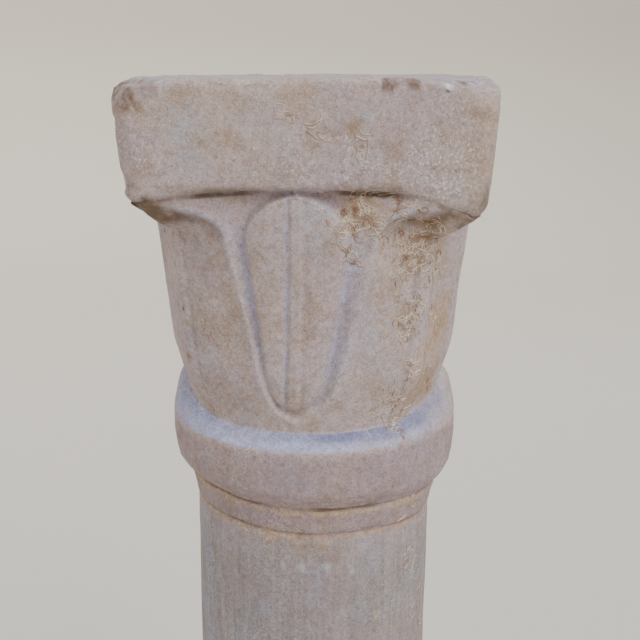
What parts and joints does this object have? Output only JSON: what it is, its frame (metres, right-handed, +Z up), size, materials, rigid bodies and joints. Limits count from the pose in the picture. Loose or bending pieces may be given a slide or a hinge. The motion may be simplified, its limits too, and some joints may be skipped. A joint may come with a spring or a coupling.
{
  "type": "marble column",
  "caption": "Small free-standing round column with a leaf-carved capital under a square block, a ring below it and a plain square base, carved from one block of marble.",
  "frame": {"origin": "centre of the plinth's flat underside, on the ground", "axes": "+Z up along the shaft, -Y out of the face that the picture shows, +X to that face's right"},
  "size_m": [0.256, 0.256, 1.12],
  "materials": {
    "marble": "weathered, hand-carved grey-beige marble with a fine mottled grain and brown dirt in the cuts"
  },
  "bodies": {
    "root": {"column": "marble"}
  },
  "joints": []
}
